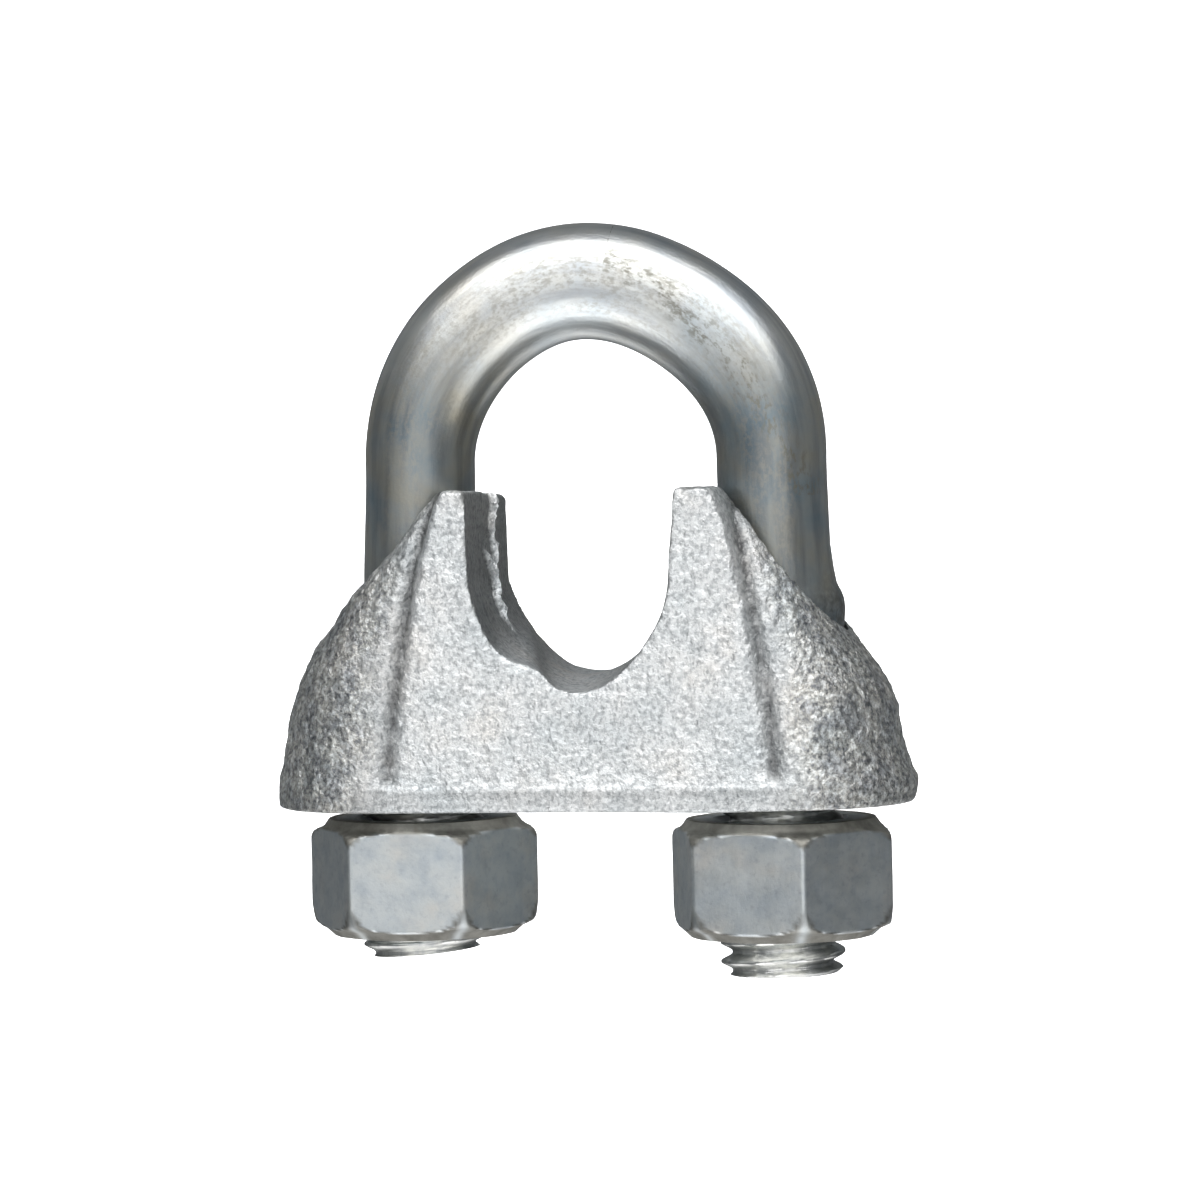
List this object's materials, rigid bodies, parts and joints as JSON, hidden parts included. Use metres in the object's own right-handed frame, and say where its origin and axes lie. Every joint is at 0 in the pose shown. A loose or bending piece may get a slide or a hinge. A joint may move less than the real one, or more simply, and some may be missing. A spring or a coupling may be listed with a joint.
{
  "type": "wire rope clip",
  "caption": "Wire rope clip: a threaded U-bolt holds a cast saddle, with a round rope seat between two horns, by a hexagon nut on each leg.",
  "frame": {"origin": "on the rope's axis, at the centre of the saddle's rope seat", "axes": "+X from the left leg of the U-bolt to the right leg, +Y along the rope, +Z from the saddle to the bow, along the legs"},
  "size_m": [0.0512, 0.0188, 0.0587],
  "materials": {
    "bolt_zinc": "bright zinc plated, smooth rolled steel",
    "cast_zinc": "rough sand casting, bright zinc coated",
    "nut_zinc": "satin zinc plated steel"
  },
  "bodies": {
    "u_bolt": {"u_bolt": "bolt_zinc"},
    "saddle": {"saddle": "cast_zinc"},
    "left_nut": {"left_nut": "nut_zinc"},
    "right_nut": {"right_nut": "nut_zinc"}
  },
  "joints": [
    {"name": "saddle_slide", "type": "slide", "parent": "u_bolt", "child": "saddle", "axis": [0, 0, 1], "range_m": [-0.009, 0.0045]},
    {"name": "left_nut_spin", "type": "hinge", "parent": "saddle", "child": "left_nut", "pos_m": [-0.01435, 0, -0.0191], "axis": [0, 0, 1], "range_deg": [-2160, 1080]},
    {"name": "right_nut_spin", "type": "hinge", "parent": "saddle", "child": "right_nut", "pos_m": [0.01435, 0, -0.0194], "axis": [0, 0, 1], "range_deg": [-2160, 1080]}
  ],
  "couplings": [
    {"joint": "saddle_slide", "follows": "left_nut_spin", "m_per_rad": 0.00023873},
    {"joint": "right_nut_spin", "follows": "left_nut_spin", "ratio": 1}
  ]
}
